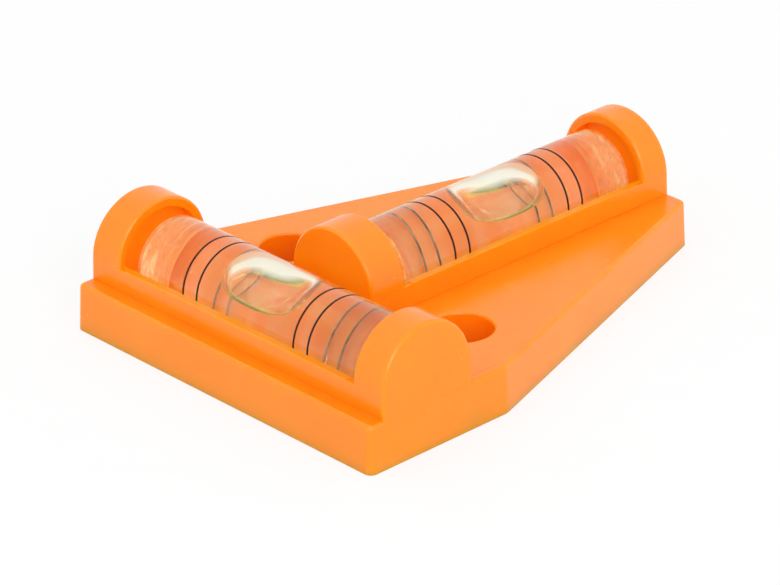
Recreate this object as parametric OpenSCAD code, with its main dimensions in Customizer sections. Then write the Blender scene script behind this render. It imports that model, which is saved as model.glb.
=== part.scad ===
// Magnetic T level: one moulded body that carries two bubble vials at right angles.
// The underside lies on z = 0, x runs along the stem from the front face to the tail,
// and y runs along the cross vial. The origin is under the middle of the plate.

/* [Plate] */
// Width of the crossbar at the underside
plate_w = 44.2; // [42:0.2:50]
// Length from the front face to the tail at the underside
plate_l = 59.1; // [58:0.1:66]
// Depth of the crossbar before the sides taper
bar_d = 18.6; // [17:0.2:21]
// Width of the tail end at the underside
tail_w = 17; // [16.8:0.2:22]
// Thickness of the plate
plate_t = 5.2; // [4.8:0.1:6]
// Draft of the outer walls in degrees
draft = 2.7; // [0.5:0.1:3]
// Plan radius of the corners at the underside
corner_r = 0.8; // [0.6:0.1:2]
// Rounding along the top edge of the plate
edge_r = 0.45; // [0.2:0.05:0.6]

/* [Housings] */
// Ledge of the plate in front of the cross housing
front_ledge = 2.1; // [1.8:0.1:3]
// Gap between the cross housing and the stem housing
housing_gap = 1.55; // [1.2:0.05:2.5]
// Wall of a boss around its socket
boss_wall = 0.8; // [0.6:0.05:1.4]
// Plastic left under a vial trough
trough_floor = 2.4; // [2.2:0.1:3]
// Height of the arch centre above the vial axis
arch_rise = 0.3; // [0:0.05:0.6]
// Height of the side walls above the vial axis
wall_rise = 0.4; // [0:0.05:0.8]
// Length of the window over each vial
window_l = 34.8; // [34:0.2:36]
// Thickness of the stem boss next to the cross vial
near_boss_t = 4.6; // [3:0.05:5]
// Depth of the sockets beyond the window
socket_depth = 1.4; // [0.6:0.1:1.8]
// Rounding of the outer boss edges
boss_edge_r = 0.45; // [0.2:0.05:0.6]
// Rounding of the socket mouths
mouth_r = 0.2; // [0.1:0.05:0.3]

/* [Vials] */
// Outer diameter of the vial tube
vial_d = 9.5; // [9:0.1:10]
// Length of the vial tube
vial_l = 32.8; // [31:0.2:33.8]
// Bore diameter at the middle of the barrel
bore_d = 8.2; // [7.6:0.1:8.4]
// How much the bore radius shrinks from the middle to the ends
crown = 0.35; // [0.1:0.05:0.5]
// Diameter of the end plugs
plug_d = 8.1; // [7.8:0.1:8.4]
// Length of the plug seat
plug_l = 3; // [2.4:0.1:4]
// How far the cross vial lies off the middle of its window, to the left
cross_shift = -0.4; // [-0.8:0.1:0.8]
// How far the stem vial lies off the middle of its window, towards the tail
stem_shift = 0.1; // [-0.8:0.1:0.8]
// How far a plug sits inside the tube end
plug_recess = 0.15; // [0:0.05:0.5]
// Distance between the two inner lines
line_gap = 14.4; // [13:0.1:16]
// Distance from an inner line to its outer line
line_pitch = 2.05; // [1.5:0.05:2.5]
// Width of a printed line
line_w = 0.24; // [0.2:0.02:0.5]
// Thickness of a printed line
line_t = 0.08; // [0.05:0.01:0.15]

/* [Bubbles] */
// Length of a bubble
bubble_l = 11; // [9:0.2:12]
// Width of a bubble
bubble_w = 6.4; // [5:0.1:6.6]
// Depth of a bubble
bubble_t = 2.4; // [1.6:0.1:2.6]
// Rounding of the lower rim of a bubble
bubble_r = 0.9; // [0.4:0.05:1.2]
// How far the bubbles stand off the middle of their vials, to the left and towards the tail
bubble_shift = 0.8; // [-1.5:0.1:1.5]

/* [Adhesive] */
// Angle of tube wrapped by an adhesive bed
bed_angle = 130; // [60:5:150]
// Length of an adhesive bed
bed_l = 28; // [10:1:30]

/* [Screw holes] */
// Distance between the two holes
hole_pitch = 25.6; // [24:0.2:28]
// Distance of the holes from the front face
hole_x = 21.4; // [20.8:0.1:24]
// Diameter for the screw shank
shank_d = 3.8; // [3:0.1:4.5]
// Diameter for the screw head
head_d = 6.5; // [5.5:0.1:7.2]
// Depth for the screw head
head_depth = 3.4; // [2.6:0.1:3.8]
// Rounding of the hole rim
rim_r = 0.3; // [0.1:0.05:0.5]

/* [Magnets] */
// Diameter of a magnet
magnet_d = 8; // [6:0.5:8.5]
// Thickness of a magnet
magnet_t = 2; // [1:0.1:2.2]
// Edge chamfer of a magnet
magnet_chamfer = 0.2; // [0.1:0.05:0.4]
// How far the magnets sit above the underside
magnet_recess = 0.1; // [0.05:0.05:0.3]
// Distance of the front magnets from the front face
front_magnet_x = 14.4; // [14:0.1:16]
// Distance between the front magnets
front_magnet_pitch = 34.4; // [33:0.2:35]
// Distance of the rear magnets from the front face
rear_magnet_x = 36; // [33:0.5:38]
// Distance between the rear magnets
rear_magnet_pitch = 20.6; // [20:0.2:22]

/* [Fits] */
// Gap between a tube and its trough, filled by the adhesive
seat_gap = 0.2; // [0.15:0.05:0.3]
// Gap between a tube end and its socket
socket_gap = 0.4; // [0.3:0.05:0.6]
// Gap between a plug and the tube
plug_gap = 0.04; // [0.02:0.01:0.08]
// Gap between a printed line and its groove
line_clear = 0.02; // [0.01:0.01:0.04]
// Gap of the adhesive film to its neighbours
bed_clear = 0.02; // [0.01:0.01:0.04]
// Gap between the liquid and the vial
liquid_gap = 0.05; // [0.02:0.01:0.08]
// Gap between a bubble and what surrounds it
bubble_gap = 0.2; // [0.15:0.05:0.3]
// Gap around a magnet in its pocket
magnet_gap = 0.05; // [0.02:0.01:0.1]

/* [Hidden] */
$fn = 96;
// Overshoot of a cut past the face that it opens
cut = 1;
// How far a face stays inside another one that it would only just touch
ease = 0.01;
// How far a rounding arc is moved out, so that it crosses the faces that it joins
arc_ease = 0.03;
// The same for the rims of the plate
rim_ease = 0.005;
// How far the rims of the plate and its core reach over each other
core_lap = 0.4;
// Radius of the flat that the top rounding leaves on a corner at least
corner_flat = 0.05;
slope = tan(draft);
// Rounding of the plate's top edge, limited by the corners
rim_round = min(edge_r, corner_r - slope * plate_t - corner_flat);

vial_r = vial_d / 2;
bore_r = bore_d / 2;
bore_end_r = bore_r - crown;
chamber = vial_l / 2 - plug_l;
// Points from the middle of the barrel to its end
barrel_steps = 8;
trough_r = vial_r + seat_gap;
socket_r = vial_r + socket_gap;
arch_r = socket_r + boss_wall;
vial_z = trough_floor + trough_r;
arch_z = vial_z + arch_rise;
top_z = arch_z + arch_r;

front_x = -plate_l / 2;
cross_x = front_x + front_ledge + arch_r;
stem_face_x = cross_x + arch_r + housing_gap;
stem_x = stem_face_x + near_boss_t + window_l / 2;
tail_x = plate_l / 2;

bubble_top_r = bore_end_r - bubble_gap;
bubble_floor = bubble_top_r - bubble_t;
line_places = [
    -line_gap / 2 - line_pitch,
    -line_gap / 2,
    line_gap / 2,
    line_gap / 2 + line_pitch
];
line_names = [for (n = [1:len(line_places)]) str("line_", n)];
vial_pieces = concat(
    ["tube", "plug_1", "plug_2", "liquid", "bubble"],
    line_names,
    ["adhesive"]
);
magnet_names = ["magnet_front_left", "magnet_front_right", "magnet_rear_left", "magnet_rear_right"];

// Corners of the plate's outline drawn in by an inset, counterclockwise from the front left one.
half_w = plate_w / 2;
half_tail = tail_w / 2;
side = norm([plate_l - bar_d, half_w - half_tail]);
side_nx = (half_w - half_tail) / side;
side_ny = (plate_l - bar_d) / side;
function plate_corners(inset) =
    let (
        side_d = side_nx * bar_d + side_ny * half_w - inset,
        shoulder_x = (side_d - side_ny * (half_w - inset)) / side_nx,
        tail_y = (side_d - side_nx * (plate_l - inset)) / side_ny
    )
        [
            [front_x + inset, half_w - inset],
            [front_x + inset, inset - half_w],
            [front_x + shoulder_x, inset - half_w],
            [tail_x - inset, -tail_y],
            [tail_x - inset, tail_y],
            [front_x + shoulder_x, half_w - inset]
        ];
corners = plate_corners(corner_r);

// Section of the plate's rim, drafted and rounded on top: from a line inside the plate
// out to the given reach at the underside, and up to the given height.
module rim_section(inside, reach, height) {
    round_z = height - rim_round;
    round_x = reach - slope * round_z - rim_round / cos(draft);
    difference() {
        polygon([
            [-inside, 0],
            [reach, 0],
            [reach - slope * height, height],
            [-inside, height]
        ]);
        translate([round_x, round_z])
            difference() {
                square(rim_round + cut);
                translate([rim_ease, rim_ease])
                    circle(rim_round);
            }
    }
}

// Direction of the plate's side that starts at corner i.
function heading(i) =
    let (a = corners[i % len(corners)], b = corners[(i + 1) % len(corners)])
        atan2(b.y - a.y, b.x - a.x);

// Rim along the side that starts at corner i. Neighbouring rims differ a little in height.
module side_rim(i) {
    a = corners[i];
    b = corners[(i + 1) % len(corners)];
    height = plate_t - ease * (1 + i % 2);
    translate([a.x, a.y, 0])
        rotate([0, 0, heading(i)])
            rotate([90, 0, 90])
                mirror([1, 0, 0])
                    linear_extrude(norm(b - a))
                        rim_section(2 * core_lap, corner_r, height);
}

// The T-shaped plate: its core, a rim along each side and a round rim at each corner.
module plate() {
    last = len(corners) - 1;
    union() {
        linear_extrude(plate_t)
            polygon(plate_corners(corner_r + core_lap));
        for (i = [0:last])
            side_rim(i);
    }
    union() {
        for (i = [0:last])
            translate([corners[i].x, corners[i].y, 0])
                rotate_extrude()
                    rim_section(0, corner_r - ease, plate_t - 3 * ease);
    }
}

// Section of a housing: upright sides and a round top.
module housing_section() {
    translate([-arch_r, 0])
        square([2 * arch_r, arch_z]);
    translate([0, arch_z])
        circle(arch_r);
}

// A housing bar along x from one place to another.
module housing_bar(x0, x1) {
    translate([x0, 0, 0])
        rotate([90, 0, 90])
            linear_extrude(x1 - x0)
                housing_section();
}

// Everything beyond a drafted end face that stands at x on the underside and faces +x.
module beyond_end(x) {
    translate([x, 0, 0])
        rotate([0, -draft, 0])
            translate([0, -plate_w, -cut])
                cube([2 * cut + arch_r, 2 * plate_w, 2 * top_z]);
}

// Section of what is cut away to round an edge: the edge lies at the given radius along x,
// and the end face that it bounds looks along y.
module edge_section(r, rounding) {
    difference() {
        translate([r - rounding, -rounding])
            square(rounding + cut);
        translate([r - rounding + arc_ease, arc_ease - rounding])
            circle(rounding);
    }
}

// Cut that rounds the arch of a boss end facing +x, about the axis of the arch.
module arch_edge() {
    rotate([0, 90, 0])
        rotate_extrude(angle = 180, start = 90)
            edge_section(arch_r, boss_edge_r);
}

// Cut that rounds a boss end facing +x all round: its arch and its two upright edges.
module end_edge() {
    depth = arch_z - plate_t + rim_round;
    arch_edge();
    for (s = [0, 1])
        mirror([0, s, 0])
            translate([0, 0, -depth])
                linear_extrude(depth)
                    rotate([0, 0, 90])
                        mirror([0, 1, 0])
                            edge_section(arch_r, boss_edge_r);
}

// Cut that gives a bar its drafted and rounded end, standing at x on the underside and facing +x.
module bar_end(x) {
    beyond_end(x);
    translate([x - slope * arch_z, 0, arch_z])
        rotate([0, -draft, 0])
            end_edge();
}

// The two housings, drafted flush with the ends of the plate.
module housings() {
    translate([cross_x, 0, 0])
        rotate([0, 0, 90])
            difference() {
                housing_bar(-half_w, half_w);
                for (s = [0, 180])
                    rotate([0, 0, s])
                        bar_end(half_w - ease);
            }
    difference() {
        housing_bar(stem_face_x, tail_x);
        bar_end(tail_x - ease);
        translate([stem_face_x, 0, arch_z])
            mirror([1, 0, 0])
                end_edge();
    }
}

// Puts a piece that lies along x into the cross housing, a given way to the left of its window's middle.
module at_cross(shift) {
    translate([cross_x, shift, vial_z])
        rotate([0, 0, 90])
            children();
}

// Puts a piece that lies along x into the stem housing, a given way behind its window's middle.
module at_stem(shift) {
    translate([stem_x + shift, 0, vial_z])
        children();
}

// A cylinder of a given radius along x, about the origin.
module rod(r, l) {
    rotate([0, 90, 0])
        cylinder(r = r, h = l, center = true);
}

// The window, the trough and the two end sockets that take one vial.
module vial_space() {
    rod(trough_r, window_l);
    rod(socket_r, window_l + 2 * socket_depth);
    translate([-window_l / 2, -arch_r - cut, wall_rise])
        cube([window_l, 2 * (arch_r + cut), arch_r + cut]);
    for (s = [0, 1])
        mirror([s, 0, 0]) {
            translate([-window_l / 2, 0, arch_rise])
                arch_edge();
            translate([-window_l / 2, 0, 0])
                socket_mouth();
        }
}

// Cut that rounds the mouth of a socket whose face looks along +x.
module socket_mouth() {
    rotate([0, 90, 0])
        rotate_extrude()
            difference() {
                translate([0, -mouth_r])
                    square([socket_r + mouth_r, mouth_r + ease]);
                translate([socket_r + mouth_r - arc_ease, arc_ease - mouth_r])
                    circle(mouth_r);
            }
}

// A stepped screw hole with a rounded rim.
module screw_hole() {
    head_r = head_d / 2;
    translate([0, 0, -cut])
        cylinder(d = shank_d, h = plate_t + 2 * cut);
    translate([0, 0, plate_t - head_depth])
        cylinder(r = head_r, h = head_depth + cut);
    rotate_extrude()
        difference() {
            translate([0, plate_t - rim_r])
                square([head_r + rim_r, rim_r + cut]);
            translate([head_r + rim_r, plate_t - rim_r])
                circle(rim_r);
        }
}

// Puts a child at each screw hole.
module at_holes() {
    for (s = [-1, 1])
        translate([front_x + hole_x, s * hole_pitch / 2, 0])
            children();
}

// Place of a magnet on the underside, in the order of the magnet names.
magnet_places = [
    for (row = [[front_magnet_x, front_magnet_pitch], [rear_magnet_x, rear_magnet_pitch]])
        for (s = [1, -1])
            [front_x + row[0], s * row[1] / 2, 0]
];

module body() {
    color("darkorange")
        difference() {
            union() {
                plate();
                housings();
            }
            at_cross(0)
                vial_space();
            at_stem(0)
                vial_space();
            at_holes()
                screw_hole();
            for (place = magnet_places)
                translate(place)
                    translate([0, 0, -cut])
                        cylinder(d = magnet_d + 2 * magnet_gap, h = cut + magnet_recess + magnet_t);
        }
}

// Radius of the barrel-shaped bore at a distance from its middle.
function bore_at(x) = bore_r - crown * pow(x / chamber, 2);

// Solid of the barrel-shaped bore along x, smaller all round by a given gap.
module barrel(gap) {
    half = chamber - gap;
    rotate([0, 90, 0])
        rotate_extrude()
            polygon(concat(
                [[0, -half]],
                [
                    for (i = [-barrel_steps:barrel_steps])
                        let (x = half * i / barrel_steps)
                            [bore_at(x) - gap, x]
                ],
                [[0, half]]
            ));
}

module tube() {
    groove_w = line_w + 2 * line_clear;
    color("honeydew", 0.35)
        difference() {
            rod(vial_r, vial_l);
            barrel(0);
            for (s = [-1, 1])
                translate([s * (chamber + (plug_l + cut) / 2), 0, 0])
                    rod(plug_d / 2 + plug_gap, plug_l + cut);
            for (x = line_places)
                translate([x, 0, 0])
                    difference() {
                        rod(vial_r + cut, groove_w);
                        rod(vial_r - line_t - line_clear, groove_w + cut);
                    }
        }
}

// Plug at one end, s = 1 for the end that points along +x.
module plug(s) {
    length = plug_l - plug_recess;
    color("ivory", 0.6)
        translate([s * (chamber + length / 2), 0, 0])
            rod(plug_d / 2, length);
}

// Space of the air bubble, grown by a gap and cut off above by the bore or left open.
module bubble_space(gap) {
    r = bubble_w / 2 + gap;
    reach = bubble_l / 2 - bubble_w / 2;
    floor_z = bubble_floor - gap;
    rim = bubble_r + gap;
    for (s = [-1, 1])
        translate([s * reach, 0, 0])
            rotate_extrude()
                bubble_section(r, floor_z, rim);
    translate([-reach, 0, 0])
        rotate([90, 0, 90])
            linear_extrude(2 * reach)
                for (s = [0, 1])
                    mirror([s, 0, 0])
                        bubble_section(r, floor_z, rim);
}

// Half section of the bubble: a flat floor, a round lower rim and an upright side.
module bubble_section(r, floor_z, rim) {
    translate([0, floor_z])
        square([r - rim, rim]);
    translate([0, floor_z + rim])
        square([r, bore_r]);
    intersection() {
        translate([r - rim, floor_z + rim])
            circle(rim);
        translate([r - rim, floor_z])
            square(rim);
    }
}

module bubble() {
    color("white", 0.5)
        intersection() {
            translate([bubble_shift, 0, 0])
                bubble_space(0);
            rod(bubble_top_r, 2 * chamber);
        }
}

module liquid() {
    color("greenyellow", 0.4)
        difference() {
            barrel(liquid_gap);
            translate([bubble_shift, 0, 0])
                bubble_space(bubble_gap);
        }
}

// Printed line number n, a band seated in its groove.
module line(n) {
    color("black")
        translate([line_places[n - 1], 0, 0])
            difference() {
                rod(vial_r, line_w);
                rod(vial_r - line_t, line_w + cut);
            }
}

// Film of adhesive between the underside of a tube and its trough.
module adhesive() {
    color("wheat", 0.6)
        rotate([0, 90, 0])
            translate([0, 0, -bed_l / 2])
                rotate_extrude(angle = bed_angle, start = -bed_angle / 2)
                    translate([vial_r + bed_clear, 0])
                        square([seat_gap - 2 * bed_clear, bed_l]);
}

module magnet(place) {
    r = magnet_d / 2;
    color("silver")
        translate(place + [0, 0, magnet_recess])
            rotate_extrude()
                polygon([
                    [0, 0],
                    [r - magnet_chamfer, 0],
                    [r, magnet_chamfer],
                    [r, magnet_t - magnet_chamfer],
                    [r - magnet_chamfer, magnet_t],
                    [0, magnet_t]
                ]);
}

// One piece of a vial, by its name.
module vial_piece(piece) {
    if (piece == "tube") tube();
    if (piece == "plug_1") plug(1);
    if (piece == "plug_2") plug(-1);
    if (piece == "liquid") liquid();
    if (piece == "bubble") bubble();
    for (n = [1:len(line_names)])
        if (piece == line_names[n - 1]) line(n);
    if (piece == "adhesive") adhesive();
}

body();
for (piece = vial_pieces)
    at_cross(cross_shift) vial_piece(piece);
for (piece = vial_pieces)
    at_stem(stem_shift) vial_piece(piece);
for (i = [0:len(magnet_names) - 1])
    magnet(magnet_places[i]);
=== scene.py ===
import math

import bmesh
import bpy
from mathutils import Matrix, Vector


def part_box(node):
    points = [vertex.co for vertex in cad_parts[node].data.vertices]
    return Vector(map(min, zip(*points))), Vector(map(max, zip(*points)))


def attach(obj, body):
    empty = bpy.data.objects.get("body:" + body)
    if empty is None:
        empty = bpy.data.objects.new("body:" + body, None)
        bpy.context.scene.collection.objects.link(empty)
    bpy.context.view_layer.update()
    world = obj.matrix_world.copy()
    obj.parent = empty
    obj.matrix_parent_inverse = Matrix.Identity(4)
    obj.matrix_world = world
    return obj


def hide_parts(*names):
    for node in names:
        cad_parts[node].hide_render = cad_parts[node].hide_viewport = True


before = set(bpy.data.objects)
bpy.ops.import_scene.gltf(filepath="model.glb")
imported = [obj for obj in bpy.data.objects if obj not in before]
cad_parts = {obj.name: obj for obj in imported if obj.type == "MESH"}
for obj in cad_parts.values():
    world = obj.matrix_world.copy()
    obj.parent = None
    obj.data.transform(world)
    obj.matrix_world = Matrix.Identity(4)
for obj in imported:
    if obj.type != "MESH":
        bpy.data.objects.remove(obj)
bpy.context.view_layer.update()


# Moulded body: plate, vial housings and screw recesses in one shot of orange ABS, a little translucent.
# It comes from a polished steel tool, and every other piece is glued or pressed into it.
# The CAD solid is right as it is and only gets this finish.
MM = 0.001


def linear(hex_colour):
    channels = [int(hex_colour[i:i + 2], 16) / 255 for i in (1, 3, 5)]
    return [c / 12.92 if c <= 0.04045 else ((c + 0.055) / 1.055) ** 2.4 for c in channels] + [1.0]


def add(material, kind, settings=None, links=None):
    node = material.node_tree.nodes.new(kind)
    for name, value in (settings or {}).items():
        if name == "stops":
            for element, (position, hex_colour) in zip(node.color_ramp.elements, value):
                element.position = position
                element.color = linear(hex_colour)
        elif name in node.inputs:
            node.inputs[name].default_value = value
        else:
            setattr(node, name, value)
    for name, source in (links or {}).items():
        material.node_tree.links.new(source, node.inputs[name])
    return node


def new_material(name):
    material = bpy.data.materials.new(name)
    material.use_nodes = True
    material.node_tree.nodes.clear()
    return material, add(material, "ShaderNodeTexCoord").outputs["Object"]


# Moulded ABS gives a soft, even shine over a colour that glows a little where the wall is thin.
orange_abs, place = new_material("moulded_orange_abs")
# Flow shades about 9 mm across, from pigment that is not quite evenly mixed.
flow = add(orange_abs, "ShaderNodeTexNoise", {"Scale": 1 / (9 * MM), "Detail": 1.0}, {"Vector": place})
shade = add(orange_abs, "ShaderNodeValToRGB", {"stops": ((0.35, "#FE8C06"), (0.65, "#FF900A"))},
            {"Fac": flow.outputs["Fac"]})
# Dust grains of about 0.1 mm, one every few millimetres.
grains = add(orange_abs, "ShaderNodeTexVoronoi", {"Scale": 1 / (3 * MM)}, {"Vector": place})
grain = add(orange_abs, "ShaderNodeMapRange",
            {"From Min": 0.015, "From Max": 0.03, "To Min": 0.6, "To Max": 0.0},
            {"Value": grains.outputs["Distance"]})
dusty = add(orange_abs, "ShaderNodeMix", {"data_type": "RGBA", "B": linear("#FFD0A0")},
            {"Factor": grain.outputs["Result"], "A": shade.outputs["Color"]})
# Tool ripple about 1.5 mm long that breaks up the shine a little.
ripple = add(orange_abs, "ShaderNodeTexNoise", {"Scale": 1 / (1.5 * MM), "Detail": 2.0}, {"Vector": place})
dullness = add(orange_abs, "ShaderNodeMapRange",
               {"From Min": 0.3, "From Max": 0.7, "To Min": 0.2, "To Max": 0.26},
               {"Value": ripple.outputs["Fac"]})
relief = add(orange_abs, "ShaderNodeBump", {"Strength": 0.04, "Distance": 0.05 * MM},
             {"Height": ripple.outputs["Fac"]})
shell = add(orange_abs, "ShaderNodeBsdfPrincipled",
            {"IOR": 1.46, "Subsurface Weight": 0.8, "Subsurface Radius": (1.0, 0.35, 0.08),
             "Subsurface Scale": 3.0 * MM},
            {"Base Color": dusty.outputs["Result"], "Roughness": dullness.outputs["Result"],
             "Normal": relief.outputs["Normal"]})
add(orange_abs, "ShaderNodeOutputMaterial", links={"Surface": shell.outputs["BSDF"]})
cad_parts["body"].data.materials.clear()
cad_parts["body"].data.materials.append(orange_abs)

# Disc magnets: sintered neodymium with a bright nickel plating against rust.
# They are pressed into round pockets of the underside, so the CAD discs only get their finish.
# Barrel plating gives a mirror that fine tumbling marks of about 0.3 mm blur in patches.
nickel, place = new_material("tumbled_nickel_plate")
marks = add(nickel, "ShaderNodeTexNoise", {"Scale": 1 / (0.3 * MM), "Detail": 4.0}, {"Vector": place})
polish = add(nickel, "ShaderNodeMapRange",
             {"From Min": 0.3, "From Max": 0.7, "To Min": 0.18, "To Max": 0.34},
             {"Value": marks.outputs["Fac"]})
plate = add(nickel, "ShaderNodeBsdfPrincipled", {"Base Color": linear("#D9D4C8"), "Metallic": 1.0},
            {"Roughness": polish.outputs["Result"]})
add(nickel, "ShaderNodeOutputMaterial", links={"Surface": plate.outputs["BSDF"]})
for corner in ("front_left", "front_right", "rear_left", "rear_right"):
    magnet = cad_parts["magnet_" + corner]
    magnet.data.materials.clear()
    magnet.data.materials.append(nickel)

# Vial tubes: lengths of clear acrylic, barrel-shaped inside so that the bubble finds the middle.
# They are bored, sawn to length and polished outside, and lie glued in the troughs of the body.
TUBE_R = 4.75 * MM
TUBE_HALF = 16.4 * MM
END_CHAMFER = 0.2 * MM
BORE_R = 4.1 * MM
BORE_CROWN = 0.35 * MM
CHAMBER_HALF = 13.4 * MM
SEAT_R = 4.09 * MM
STATIONS = [CHAMBER_HALF * step / 10 for step in range(-10, 11)]
MERGE = 0.0005 * MM
SHARP_EDGE = math.radians(30)


def bore_at(x):
    return BORE_R - BORE_CROWN * (x / CHAMBER_HALF) ** 2


# Spins a profile of places along the vial and radii into a closed mesh.
def turned(profile, segments):
    mesh = bmesh.new()
    ring = [mesh.verts.new((x, 0, r)) for x, r in profile]
    edges = [mesh.edges.new(pair) for pair in zip(ring, ring[1:])]
    bmesh.ops.spin(mesh, geom=ring + edges, cent=(0, 0, 0), axis=(1, 0, 0), angle=2 * math.pi,
                   steps=segments, use_merge=True)
    bmesh.ops.remove_doubles(mesh, verts=mesh.verts, dist=MERGE)
    bmesh.ops.recalc_face_normals(mesh, faces=mesh.faces)
    return mesh


# Lays a piece that was made along X at the origin into its vial, in place of its CAD node.
def seated(mesh, vial, name, node, slot, body, *materials):
    low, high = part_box(vial + "_tube")
    turn = Matrix.Rotation(math.pi / 2 if vial == "cross" else 0, 4, "Z")
    bmesh.ops.transform(mesh, matrix=Matrix.Translation((low + high) / 2) @ turn, verts=mesh.verts)
    piece = bpy.data.objects.new(vial + "_" + name, bpy.data.meshes.new(vial + "_" + name))
    mesh.to_mesh(piece.data)
    mesh.free()
    piece.data.shade_smooth()
    piece.data.set_sharp_from_angle(angle=SHARP_EDGE)
    for material in materials:
        piece.data.materials.append(material)
    bpy.context.scene.collection.objects.link(piece)
    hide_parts(node)
    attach(piece, body)
    return piece


# Clear pieces throw no shadow, so that light reaches the trough beneath them.
def let_light_through(piece):
    piece.visible_shadow = False
    piece.visible_diffuse = False


# Polished acrylic is water clear, with a handling haze about 1 mm across.
acrylic, place = new_material("polished_clear_acrylic")
haze = add(acrylic, "ShaderNodeTexNoise", {"Scale": 1 / (1 * MM), "Detail": 3.0}, {"Vector": place})
clarity = add(acrylic, "ShaderNodeMapRange",
              {"From Min": 0.45, "From Max": 0.8, "To Min": 0.0, "To Max": 0.03},
              {"Value": haze.outputs["Fac"]})
wall = add(acrylic, "ShaderNodeBsdfPrincipled",
           {"Base Color": linear("#FFFFFF"), "IOR": 1.49, "Transmission Weight": 1.0},
           {"Roughness": clarity.outputs["Result"]})
add(acrylic, "ShaderNodeOutputMaterial", links={"Surface": wall.outputs["BSDF"]})

# A sawn end has chips about 0.7 mm across, milky where the saw tore and clear between.
sawn, place = new_material("sawn_acrylic_end_painted_glints")
chips = add(sawn, "ShaderNodeTexNoise", {"Scale": 1 / (0.7 * MM), "Detail": 3.0}, {"Vector": place})
pits = add(sawn, "ShaderNodeBump", {"Strength": 0.5, "Distance": 0.15 * MM}, {"Height": chips.outputs["Fac"]})
torn = add(sawn, "ShaderNodeMapRange",
           {"From Min": 0.4, "From Max": 0.6, "To Min": 0.55, "To Max": 0.95},
           {"Value": chips.outputs["Fac"]})
window = add(sawn, "ShaderNodeBsdfPrincipled",
             {"Base Color": linear("#FFF8DC"), "IOR": 1.49, "Transmission Weight": 1.0, "Roughness": 0.12},
             {"Normal": pits.outputs["Normal"]})
# Patches about 2.5 mm across on the milky part are painted light: a painted orange glow from the body around
# the end, and painted pale yellow glints.
painted_glint_patches = add(sawn, "ShaderNodeTexNoise", {"Scale": 1 / (2.5 * MM), "Detail": 1.0}, {"Vector": place})
painted_glint_colour = add(sawn, "ShaderNodeValToRGB", {"stops": ((0.54, "#FFAE57"), (0.68, "#FFE9A0"))},
            {"Fac": painted_glint_patches.outputs["Fac"]})
milky_frost_painted_glow = add(sawn, "ShaderNodeBsdfPrincipled", {"Roughness": 0.5},
            {"Base Color": painted_glint_colour.outputs["Color"], "Normal": pits.outputs["Normal"]})
end = add(sawn, "ShaderNodeMixShader",
          links={"Fac": torn.outputs["Result"], 1: window.outputs["BSDF"], 2: milky_frost_painted_glow.outputs["BSDF"]})
add(sawn, "ShaderNodeOutputMaterial", links={"Surface": end.outputs["Shader"]})

# A wetted bore wall is all but invisible, with faint schlieren about 4 mm long.
wetted, place = new_material("wetted_acrylic")
schlieren = add(wetted, "ShaderNodeTexNoise", {"Scale": 1 / (4 * MM), "Detail": 1.0}, {"Vector": place})
veil = add(wetted, "ShaderNodeValToRGB", {"stops": ((0.4, "#FDFDF8"), (0.6, "#FFFFFF"))},
           {"Fac": schlieren.outputs["Fac"]})
clear = add(wetted, "ShaderNodeBsdfTransparent", links={"Color": veil.outputs["Color"]})
add(wetted, "ShaderNodeOutputMaterial", links={"Surface": clear.outputs["BSDF"]})

for vial in ("cross", "stem"):
    profile = [(-TUBE_HALF, SEAT_R), (-TUBE_HALF, TUBE_R - END_CHAMFER), (-TUBE_HALF + END_CHAMFER, TUBE_R),
               (TUBE_HALF - END_CHAMFER, TUBE_R), (TUBE_HALF, TUBE_R - END_CHAMFER), (TUBE_HALF, SEAT_R),
               (CHAMBER_HALF, SEAT_R)]
    profile += [(x, bore_at(x)) for x in reversed(STATIONS)]
    profile += [(-CHAMBER_HALF, SEAT_R), (-TUBE_HALF, SEAT_R)]
    mesh = turned(profile, segments=128)
    for face in mesh.faces:
        at = face.calc_center_median()
        if abs(at.x) > TUBE_HALF - END_CHAMFER:
            face.material_index = 2
        elif math.hypot(at.y, at.z) < (SEAT_R + TUBE_R) / 2:
            face.material_index = 1
    tube = seated(mesh, vial, "acrylic_tube", vial + "_tube", "clear_acrylic", "level", acrylic, wetted, sawn)
    let_light_through(tube)

# Adhesive beds: a film of clear glue that was laid in each trough and holds the tube down.
# It is squeezed out to a sixth of a millimetre and reaches up both sides of the trough.
BED_HALF = 14.0 * MM
BED_IN = 4.76 * MM
BED_OUT = 4.92 * MM
BED_REACH = math.radians(65)
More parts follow.
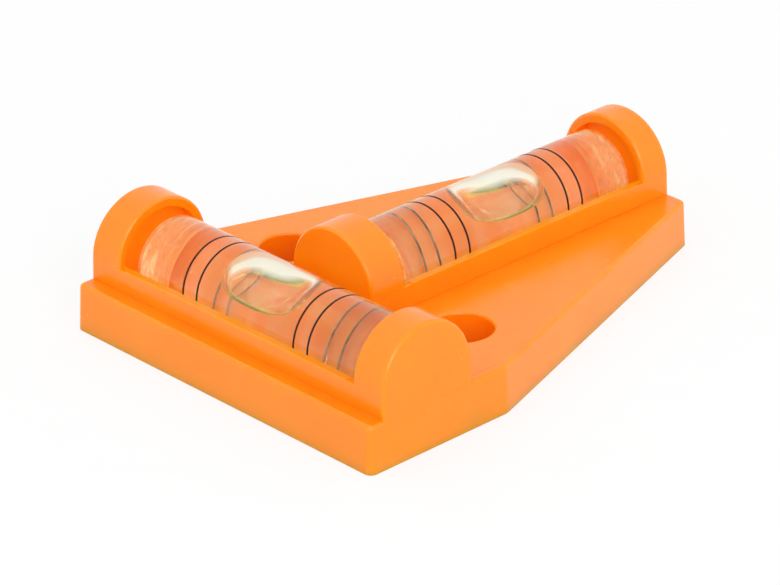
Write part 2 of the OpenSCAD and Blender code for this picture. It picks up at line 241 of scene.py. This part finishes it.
# Set glue is see-through, with milky streaks about 2 mm long.
glue, place = new_material("clear_vial_glue")
streaks = add(glue, "ShaderNodeTexNoise", {"Scale": 1 / (2 * MM), "Detail": 2.0}, {"Vector": place})
milk = add(glue, "ShaderNodeMapRange",
           {"From Min": 0.4, "From Max": 0.7, "To Min": 0.04, "To Max": 0.12},
           {"Value": streaks.outputs["Fac"]})
through = add(glue, "ShaderNodeBsdfTransparent", {"Color": linear("#FFFBF2")})
streak = add(glue, "ShaderNodeBsdfPrincipled",
             {"Base Color": linear("#FFF6E6"), "Roughness": 0.2, "IOR": 1.45})
squeezed = add(glue, "ShaderNodeMixShader",
               links={"Fac": milk.outputs["Result"], 1: through.outputs["BSDF"], 2: streak.outputs["BSDF"]})
add(glue, "ShaderNodeOutputMaterial", links={"Surface": squeezed.outputs["Shader"]})
for vial in ("cross", "stem"):
    mesh = bmesh.new()
    section = ((-BED_HALF, BED_IN), (BED_HALF, BED_IN), (BED_HALF, BED_OUT), (-BED_HALF, BED_OUT))
    strip = [mesh.verts.new((x, 0, -r)) for x, r in section]
    start = mesh.faces.new(strip)
    bmesh.ops.rotate(mesh, verts=mesh.verts, matrix=Matrix.Rotation(-BED_REACH, 3, "X"))
    bmesh.ops.spin(mesh, geom=[start] + list(start.edges) + strip, cent=(0, 0, 0), axis=(1, 0, 0),
                   angle=2 * BED_REACH, steps=48)
    bmesh.ops.remove_doubles(mesh, verts=mesh.verts, dist=MERGE)
    bmesh.ops.recalc_face_normals(mesh, faces=mesh.faces)
    bed = seated(mesh, vial, "glue_bed", vial + "_adhesive", "clear_adhesive", "level", glue)
    let_light_through(bed)

# Printed lines: four rings of black ink rolled round each tube before it is glued in.
# The inner pair stands a little further apart than a bubble is long, and the outer pair just beyond.
LINE_W = 0.24 * MM
LINE_PROUD = 0.012 * MM
LINE_SUNK = 0.02 * MM
LINE_INNER = 7.2 * MM
LINE_OUTER = 9.25 * MM
# Printing ink is dull black, with thin spots about 0.2 mm across where the roller left less.
ink, place = new_material("printed_black_ink")
spots = add(ink, "ShaderNodeTexNoise", {"Scale": 1 / (0.2 * MM), "Detail": 2.0}, {"Vector": place})
cover = add(ink, "ShaderNodeValToRGB", {"stops": ((0.35, "#140604"), (0.7, "#3A0F09"))},
            {"Fac": spots.outputs["Fac"]})
front = add(ink, "ShaderNodeBsdfPrincipled", {"Roughness": 0.6, "IOR": 1.35},
            {"Base Color": cover.outputs["Color"]})
add(ink, "ShaderNodeOutputMaterial", links={"Surface": front.outputs["BSDF"]})
# Its back, which shows through the tube, is the same black ink, but it gets a painted lighter grey for the
# veil of light that the tube and liquid lay over it, speckled with the same spots.
ink_back_painted_grey, place = new_material("ink_back_with_painted_veil")
spots = add(ink_back_painted_grey, "ShaderNodeTexNoise", {"Scale": 1 / (0.2 * MM), "Detail": 2.0}, {"Vector": place})
cover = add(ink_back_painted_grey, "ShaderNodeValToRGB", {"stops": ((0.35, "#4A4038"), (0.65, "#B8A894"))},
            {"Fac": spots.outputs["Fac"]})
back = add(ink_back_painted_grey, "ShaderNodeBsdfPrincipled", {"Roughness": 0.6, "IOR": 1.5},
           {"Base Color": cover.outputs["Color"]})
add(ink_back_painted_grey, "ShaderNodeOutputMaterial", links={"Surface": back.outputs["BSDF"]})
for vial in ("cross", "stem"):
    for number, x in enumerate((-LINE_OUTER, -LINE_INNER, LINE_INNER, LINE_OUTER), 1):
        x0, x1 = x - LINE_W / 2, x + LINE_W / 2
        mesh = turned([(x0, TUBE_R - LINE_SUNK), (x0, TUBE_R + LINE_PROUD), (x1, TUBE_R + LINE_PROUD),
                       (x1, TUBE_R - LINE_SUNK), (x0, TUBE_R - LINE_SUNK)], segments=128)
        for face in mesh.faces:
            at = face.calc_center_median()
            face.material_index = int(math.hypot(at.y, at.z) < TUBE_R - LINE_SUNK / 2)
        node = f"{vial}_line_{number}"
        seated(mesh, vial, f"ink_line_{number}", node, "black_print", "level", ink, ink_back_painted_grey)

# Plugs: discs of the same acrylic that close the tube ends after filling.
# They are solvent-welded into their seats, and their outer faces are left as sawn.
PLUG_R = 4.08 * MM
PLUG_GAP = 0.02 * MM
PLUG_IN = CHAMBER_HALF + PLUG_GAP
PLUG_OUT = 16.25 * MM
# A solvent weld is clear, with faint streaks about 1 mm long.
weld, place = new_material("clear_solvent_weld")
seam = add(weld, "ShaderNodeTexNoise", {"Scale": 1 / (1 * MM), "Detail": 2.0}, {"Vector": place})
fused = add(weld, "ShaderNodeValToRGB", {"stops": ((0.4, "#FBFAF2"), (0.6, "#FFFFFF"))},
            {"Fac": seam.outputs["Fac"]})
joint = add(weld, "ShaderNodeBsdfRefraction", {"IOR": 1.0, "Roughness": 0.0},
            {"Color": fused.outputs["Color"]})
add(weld, "ShaderNodeOutputMaterial", links={"Surface": joint.outputs["BSDF"]})
for vial in ("cross", "stem"):
    for number, side in ((1, 1), (2, -1)):
        inner, outer = side * PLUG_IN, side * PLUG_OUT
        mesh = turned([(inner, 0), (inner, PLUG_R), (outer, PLUG_R), (outer, 0)], segments=96)
        for face in mesh.faces:
            face.material_index = int(abs(face.calc_center_median().x) > PLUG_OUT - PLUG_GAP)
        node = f"{vial}_plug_{number}"
        plug = seated(mesh, vial, f"weld_plug_{number}", node, "milky_plug", "level", weld, sawn)
        let_light_through(plug)

# Liquid: pale yellow-green spirit that fills the barrel and stays in place while the bubble moves in it.
# It is poured in before the second plug and bends light as acrylic does, so its own surface hardly shows.
# Dyed spirit gives a clear fill that takes a little blue from what lies behind, with swirls about 5 mm long.
FILL_GAP = 0.01 * MM
spirit, place = new_material("yellow_green_spirit")
swirl = add(spirit, "ShaderNodeTexNoise", {"Scale": 1 / (5 * MM), "Detail": 1.0}, {"Vector": place})
tint = add(spirit, "ShaderNodeValToRGB", {"stops": ((0.4, "#FDFEF6"), (0.6, "#FFFFFC"))},
           {"Fac": swirl.outputs["Fac"]})
pane = add(spirit, "ShaderNodeBsdfRefraction", {"IOR": 1.0, "Roughness": 0.0},
           {"Color": tint.outputs["Color"]})
dye = add(spirit, "ShaderNodeVolumeAbsorption", {"Color": linear("#FEFFA0"), "Density": 40.0})
add(spirit, "ShaderNodeOutputMaterial",
    links={"Surface": pane.outputs["BSDF"], "Volume": dye.outputs["Volume"]})
for vial in ("cross", "stem"):
    fill = [(x, bore_at(x) - FILL_GAP) for x in STATIONS]
    mesh = turned([(-CHAMBER_HALF, 0)] + fill + [(CHAMBER_HALF, 0)], segments=128)
    liquid = seated(mesh, vial, "spirit", vial + "_liquid", "vial_liquid", "level", spirit)
    let_light_through(liquid)

# Bubbles: the air left in each vial, pressed against the crown of the bore with a flat floor and round rim.
# In plan they are long ovals, and they stand a little off the middle of their vials.
BUBBLE_HALF = 5.5 * MM
BUBBLE_SIDE = 3.4 * MM
BUBBLE_RIM_Z = 1.6 * MM
BUBBLE_FLOOR = 0.7 * MM
BUBBLE_TOP_R = 3.85 * MM
BUBBLE_SHIFT = 0.8 * MM
AXIS_Z = sum(corner.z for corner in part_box("cross_tube")) / 2
OVAL = 2.4
RIM_END = 3.2
RIM_SIDE = 5.0
RIM_LOW = 2.4
# Where the skin is seen aslant it mirrors the white tent at the top and the dyed liquid at the lower rim,
# so there that reflection is painted on as a pale diffuse sheet, and elsewhere the skin is glass that lets
# the trough show.
air, place = new_material("air_in_spirit_painted_reflections")
skin = add(air, "ShaderNodeTexNoise", {"Scale": 1 / (3 * MM), "Detail": 1.0}, {"Vector": place})
skin_tint = add(air, "ShaderNodeValToRGB", {"stops": ((0.4, "#FFFFFA"), (0.6, "#FFFFFF"))},
                {"Fac": skin.outputs["Fac"]})
pocket = add(air, "ShaderNodeBsdfGlass", {"IOR": 0.69, "Roughness": 0.0},
             {"Color": skin_tint.outputs["Color"]})
aslant = add(air, "ShaderNodeLayerWeight", {"Blend": 0.5})
# Painted reflection colour: near white where the skin is most aslant, pinkish where it faces the camera more.
painted_reflection_colour = add(air, "ShaderNodeValToRGB", {"stops": ((0.29, "#F8F2F4"), (0.35, "#FFC8AC"))},
             {"Fac": aslant.outputs["Facing"]})
height = add(air, "ShaderNodeSeparateXYZ", links={"Vector": place})
upper = add(air, "ShaderNodeMapRange", {"From Min": AXIS_Z + 1.45 * MM, "From Max": AXIS_Z + 2.25 * MM},
            {"Value": height.outputs["Z"]})
# Painted glow: yellow-green low on the rim, with the painted reflection colour higher up.
painted_light_colour = add(air, "ShaderNodeMix", {"data_type": "RGBA", "A": linear("#E6E07C")},
                 {"Factor": upper.outputs["Result"], "B": painted_reflection_colour.outputs["Color"]})
painted_light_sheet = add(air, "ShaderNodeBsdfDiffuse", links={"Color": painted_light_colour.outputs["Result"]})
# The painted reflection is full on the crown, weaker on the lower rim and faint on the walls between.
slant = add(air, "ShaderNodeMapRange", {"From Min": 0.15, "From Max": 0.21, "To Min": 0.0, "To Max": 0.92},
            {"Value": aslant.outputs["Facing"]})
crown = add(air, "ShaderNodeMapRange", {"From Min": AXIS_Z + 2.55 * MM, "From Max": AXIS_Z + 3.15 * MM},
            {"Value": height.outputs["Z"]})
keel = add(air, "ShaderNodeMapRange",
           {"From Min": AXIS_Z + 1.05 * MM, "From Max": AXIS_Z + 1.95 * MM, "To Min": 0.8, "To Max": 0.2},
           {"Value": height.outputs["Z"]})
band = add(air, "ShaderNodeMath", {"operation": "MAXIMUM"},
           {0: crown.outputs["Result"], 1: keel.outputs["Result"]})
painted_reflection_cover = add(air, "ShaderNodeMath", {"operation": "MULTIPLY"},
              {0: slant.outputs["Result"], 1: band.outputs["Value"]})
# From inside the bubble the skin mirrors little, so the painted reflection is left out there.
inside = add(air, "ShaderNodeNewGeometry")
from_outside = add(air, "ShaderNodeMath", {"operation": "SUBTRACT", "use_clamp": True},
                   {0: painted_reflection_cover.outputs["Value"], 1: inside.outputs["Backfacing"]})
# The round of the lower rim gathers the dye's glow, which is painted on as a yellow-green band, and from
# inside only the flanks show it.
rising = add(air, "ShaderNodeMapRange",
             {"From Min": AXIS_Z + 0.85 * MM, "From Max": AXIS_Z + 1.05 * MM, "To Min": 0.0, "To Max": 0.38},
             {"Value": height.outputs["Z"]})
fading = add(air, "ShaderNodeMapRange",
             {"From Min": AXIS_Z + 1.35 * MM, "From Max": AXIS_Z + 1.7 * MM, "To Min": 1.0, "To Max": 0.0},
             {"Value": height.outputs["Z"]})
painted_rim_glow = add(air, "ShaderNodeMath", {"operation": "MULTIPLY"},
               {0: rising.outputs["Result"], 1: fading.outputs["Result"]})
# The mesh's own flank value is 1 on the long sides and 0 at the ends.
flank = add(air, "ShaderNodeAttribute", {"attribute_name": "flank"})
long_side = add(air, "ShaderNodeMapRange", {"From Min": 0.4, "From Max": 0.8},
                {"Value": flank.outputs["Fac"]})
outside = add(air, "ShaderNodeMapRange", {"To Min": 1.0, "To Max": 0.0},
              {"Value": inside.outputs["Backfacing"]})
painted_glow_sides = add(air, "ShaderNodeMath", {"operation": "MAXIMUM"},
              {0: long_side.outputs["Result"], 1: outside.outputs["Result"]})
painted_rim_glow_cover = add(air, "ShaderNodeMath", {"operation": "MULTIPLY"},
               {0: painted_rim_glow.outputs["Value"], 1: painted_glow_sides.outputs["Value"]})
painted_light_cover = add(air, "ShaderNodeMath", {"operation": "MAXIMUM"},
             {0: from_outside.outputs["Value"], 1: painted_rim_glow_cover.outputs["Value"]})
bubble_skin = add(air, "ShaderNodeMixShader",
                  links={"Fac": painted_light_cover.outputs["Value"], 1: pocket.outputs["BSDF"], 2: painted_light_sheet.outputs["BSDF"]})
add(air, "ShaderNodeOutputMaterial", links={"Surface": bubble_skin.outputs["Shader"]})
for vial in ("cross", "stem"):
    mesh = bmesh.new()
    bmesh.ops.create_uvsphere(mesh, u_segments=128, v_segments=96, radius=1.0)
    flank_value = mesh.verts.layers.float.new("flank")
    for vert in mesh.verts:
        x, y, z = vert.co
        out = math.hypot(x, y)
        vert[flank_value] = (y / max(out, 1e-6)) ** 2
        rim = RIM_LOW if z < 0 else RIM_END + (RIM_SIDE - RIM_END) * vert[flank_value]
        round_rim = 1 / (out ** rim + abs(z) ** rim) ** (1 / rim)
        oval = out / (abs(x) ** OVAL + abs(y) ** OVAL) ** (1 / OVAL) if out > 0 else 1.0
        x, y = x * round_rim * oval * BUBBLE_HALF, y * round_rim * oval * BUBBLE_SIDE
        top = math.sqrt(BUBBLE_TOP_R ** 2 - y ** 2)
        reach = top - BUBBLE_RIM_Z if z > 0 else BUBBLE_RIM_Z - BUBBLE_FLOOR
        vert.co = (x + BUBBLE_SHIFT, y, BUBBLE_RIM_Z + z * round_rim * reach)
    bmesh.ops.recalc_face_normals(mesh, faces=mesh.faces)
    bubble = seated(mesh, vial, "air", vial + "_bubble", "air_bubble", vial + "_air", air)
    let_light_through(bubble)

# Setting: a white card table in a white light tent, with a softbox above and a stronger one at the side.
# Card gives a plain white with a faint grain about 6 mm across. It shines white to the camera, and the part
# of it that only reflects light keeps the shadow.
TABLE_HALF = 3.0
TABLE_DROP = 0.05 * MM
card, place = new_material("smooth_white_card")
fibre = add(card, "ShaderNodeTexNoise", {"Scale": 1 / (6 * MM), "Detail": 2.0}, {"Vector": place})
paper = add(card, "ShaderNodeValToRGB", {"stops": ((0.4, "#F3F3F3"), (0.6, "#F5F5F5"))},
            {"Fac": fibre.outputs["Fac"]})
surface = add(card, "ShaderNodeBsdfDiffuse", links={"Color": paper.outputs["Color"]})
glow = add(card, "ShaderNodeEmission", {"Strength": 1.0})
path = add(card, "ShaderNodeLightPath")
straight = add(card, "ShaderNodeMath", {"operation": "MAXIMUM"},
               {0: path.outputs["Is Camera Ray"], 1: path.outputs["Is Glossy Ray"]})
seen = add(card, "ShaderNodeMath", {"operation": "MAXIMUM"},
           {0: straight.outputs["Value"], 1: path.outputs["Is Transmission Ray"]})
share = add(card, "ShaderNodeMapRange", {"To Max": 0.8}, {"Value": seen.outputs["Value"]})
blend = add(card, "ShaderNodeMixShader",
            links={"Fac": share.outputs["Result"], 1: surface.outputs["BSDF"], 2: glow.outputs["Emission"]})
add(card, "ShaderNodeOutputMaterial", links={"Surface": blend.outputs["Shader"]})
mesh = bmesh.new()
bmesh.ops.create_grid(mesh, x_segments=1, y_segments=1, size=TABLE_HALF)
bmesh.ops.translate(mesh, vec=(0, 0, -TABLE_DROP), verts=mesh.verts)
floor = bpy.data.objects.new("card_table", bpy.data.meshes.new("card_table"))
mesh.to_mesh(floor.data)
mesh.free()
floor.data.materials.append(card)
bpy.context.scene.collection.objects.link(floor)

tent = bpy.data.worlds.new("white_tent")
bpy.context.scene.world = tent
tent.use_nodes = True
tent.node_tree.nodes.clear()
path = add(tent, "ShaderNodeLightPath")
straight = add(tent, "ShaderNodeMath", {"operation": "MAXIMUM"},
               {0: path.outputs["Is Camera Ray"], 1: path.outputs["Is Glossy Ray"]})
seen = add(tent, "ShaderNodeMath", {"operation": "MAXIMUM"},
           {0: straight.outputs["Value"], 1: path.outputs["Is Transmission Ray"]})
sky = add(tent, "ShaderNodeBackground", {"Color": linear("#FFFFFF"), "Strength": 0.9})
backdrop = add(tent, "ShaderNodeBackground", {"Color": linear("#FFFFFF"), "Strength": 1.0})
choose = add(tent, "ShaderNodeMixShader",
             links={"Fac": seen.outputs["Value"], 1: sky.outputs["Background"],
                    2: backdrop.outputs["Background"]})
add(tent, "ShaderNodeOutputWorld", links={"Surface": choose.outputs["Shader"]})

for name, where, size, power in (("softbox_above", (-0.15, 0.1, 0.5), 0.35, 0.2),
                                 ("softbox_side", (-0.25, -0.45, 0.25), 0.3, 1.1)):
    lamp = bpy.data.lights.new(name, "AREA")
    lamp.shape = "SQUARE"
    lamp.size = size
    lamp.energy = power
    box = bpy.data.objects.new(name, lamp)
    box.location = where
    box.rotation_euler = (-Vector(where)).to_track_quat("-Z", "Y").to_euler()
    bpy.context.scene.collection.objects.link(box)

# Camera: a long lens in front of the right-hand corner, looking down at about 27 degrees.
# Its place, turn and length are fitted to the corners of the plate in the photograph.
lens = bpy.data.cameras.new("camera")
lens.lens = 198.45
lens.sensor_width = 36
lens.clip_start = 0.01
camera = bpy.data.objects.new("camera", lens)
camera.location = (-0.27569, -0.28738, 0.20219)
camera.rotation_euler = [math.radians(angle) for angle in (63.266, 0.569, -43.470)]
bpy.context.scene.collection.objects.link(camera)
bpy.context.scene.camera = camera
bpy.context.scene.view_settings.view_transform = "Standard"
